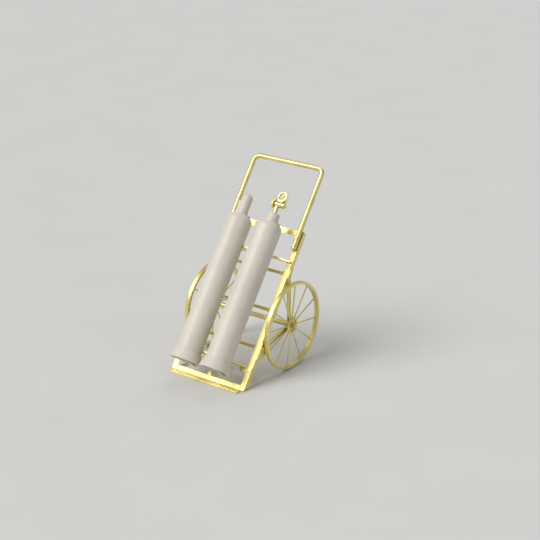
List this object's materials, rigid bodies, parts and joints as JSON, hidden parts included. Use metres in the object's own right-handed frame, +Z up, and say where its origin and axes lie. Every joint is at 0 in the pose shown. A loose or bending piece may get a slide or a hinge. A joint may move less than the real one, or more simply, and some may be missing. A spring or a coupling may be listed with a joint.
{
  "type": "gas cylinder cart",
  "caption": "Two-wheeled hand cart leaning back with two gas cylinders in cradles; hoop handle, spoked wheels on strut brackets, capped cylinder and regulator with gauge.",
  "frame": {"origin": "on the floor, under the centre of the whole cart's bounding box, standing at rest on its sole plate and both wheels", "axes": "+X to the right across the cart seen from the cylinders' side, +Y from the cylinders back towards the wheels, +Z up; the rails lean back towards +Y"},
  "size_m": [0.726, 1.116, 1.3218],
  "materials": {
    "frame_brass": "satin",
    "fastener_brass": "satin",
    "fitting_brass": "satin",
    "cylinder_paint": "satin",
    "dial": "satin",
    "needle": "satin",
    "window": "clear"
  },
  "bodies": {
    "cart": {"axle_beam": "frame_brass", "axle_flanges": "frame_brass", "axle_nuts": "fastener_brass", "axle_shaft": "frame_brass", "axle_washers": "fastener_brass", "bottom_bar": "frame_brass", "center_post": "frame_brass", "cotter_pins": "fastener_brass", "cradle_brackets": "frame_brass", "cradle_lower": "frame_brass", "cradle_upper": "frame_brass", "foot_hangers": "frame_brass", "gusset_left": "frame_brass", "gusset_right": "frame_brass", "handle_bolts": "fastener_brass", "handle_plugs": "fastener_brass", "handle_tube": "frame_brass", "hub_bolt_nuts": "fastener_brass", "hub_bolts": "fastener_brass", "lower_strut_left": "frame_brass", "lower_strut_right": "frame_brass", "nuts": "fastener_brass", "rivets": "fastener_brass", "rod_collars": "fastener_brass", "rod_nuts": "fastener_brass", "side_rail_left": "frame_brass", "side_rail_right": "frame_brass", "sole_plate": "frame_brass", "strut_bolts": "fastener_brass", "tie_rods": "frame_brass", "top_cross_bar": "frame_brass", "upper_strut_left": "frame_brass", "upper_strut_right": "frame_brass"},
    "wheel_left": {"rim_left": "frame_brass", "spokes_left": "frame_brass", "hub_left": "frame_brass", "bush_left": "fitting_brass"},
    "wheel_right": {"rim_right": "frame_brass", "spokes_right": "frame_brass", "hub_right": "frame_brass", "bush_right": "fitting_brass"},
    "gas_cylinder_left": {"cylinder_left": "cylinder_paint", "foot_ring_left": "cylinder_paint", "neck_ring_left": "cylinder_paint", "valve_left": "fitting_brass"},
    "cap": {"cap_left": "cylinder_paint"},
    "valve_wheel": {"handwheel_left": "fitting_brass"},
    "gas_cylinder_right": {"cylinder_right": "cylinder_paint", "foot_ring_right": "cylinder_paint", "neck_ring_right": "cylinder_paint", "valve_stem_right": "fitting_brass", "inlet_nut": "fitting_brass", "regulator_body": "fitting_brass", "gauge_case": "fitting_brass", "gauge_dial": "dial", "gauge_window": "window", "outlet_nipple": "fitting_brass"},
    "knob": {"adjusting_knob": "fitting_brass"},
    "needle": {"gauge_needle": "needle"}
  },
  "joints": [
    {"name": "wheel_left_spin", "type": "hinge", "parent": "cart", "child": "wheel_left", "pos_m": [-0.331, 0.12362, 0.31], "axis": [1, 0, 0], "continuous": true},
    {"name": "wheel_right_spin", "type": "hinge", "parent": "cart", "child": "wheel_right", "pos_m": [0.331, 0.12362, 0.31], "axis": [1, 0, 0], "continuous": true},
    {"name": "cylinder_left_out", "type": "slide", "parent": "cart", "child": "gas_cylinder_left", "axis": [0, -0.8068, 0.5908], "range_m": [0, 0.3]},
    {"name": "cylinder_right_out", "type": "slide", "parent": "cart", "child": "gas_cylinder_right", "axis": [0, -0.8068, 0.5908], "range_m": [0, 0.3]},
    {"name": "cap_unscrew", "type": "hinge", "parent": "gas_cylinder_left", "child": "cap", "pos_m": [-0.125, 0.19286, 1.04264], "axis": [0, 0.5908, 0.8068], "continuous": true},
    {"name": "valve_open", "type": "hinge", "parent": "gas_cylinder_left", "child": "valve_wheel", "pos_m": [-0.125, 0.21649, 1.07491], "axis": [0, 0.5908, 0.8068], "range_deg": [0, 720]},
    {"name": "pressure_set", "type": "hinge", "parent": "gas_cylinder_right", "child": "knob", "pos_m": [0.095, 0.23717, 1.10315], "axis": [1, 0, 0], "range_deg": [0, 1080]},
    {"name": "gauge_read", "type": "hinge", "parent": "gas_cylinder_right", "child": "needle", "pos_m": [0.146, 0.26542, 1.15187], "axis": [0, 0.8068, -0.5908], "range_deg": [0, 270], "stiffness_Nm_per_rad": 0.0005, "springref_deg": -17.19}
  ]
}
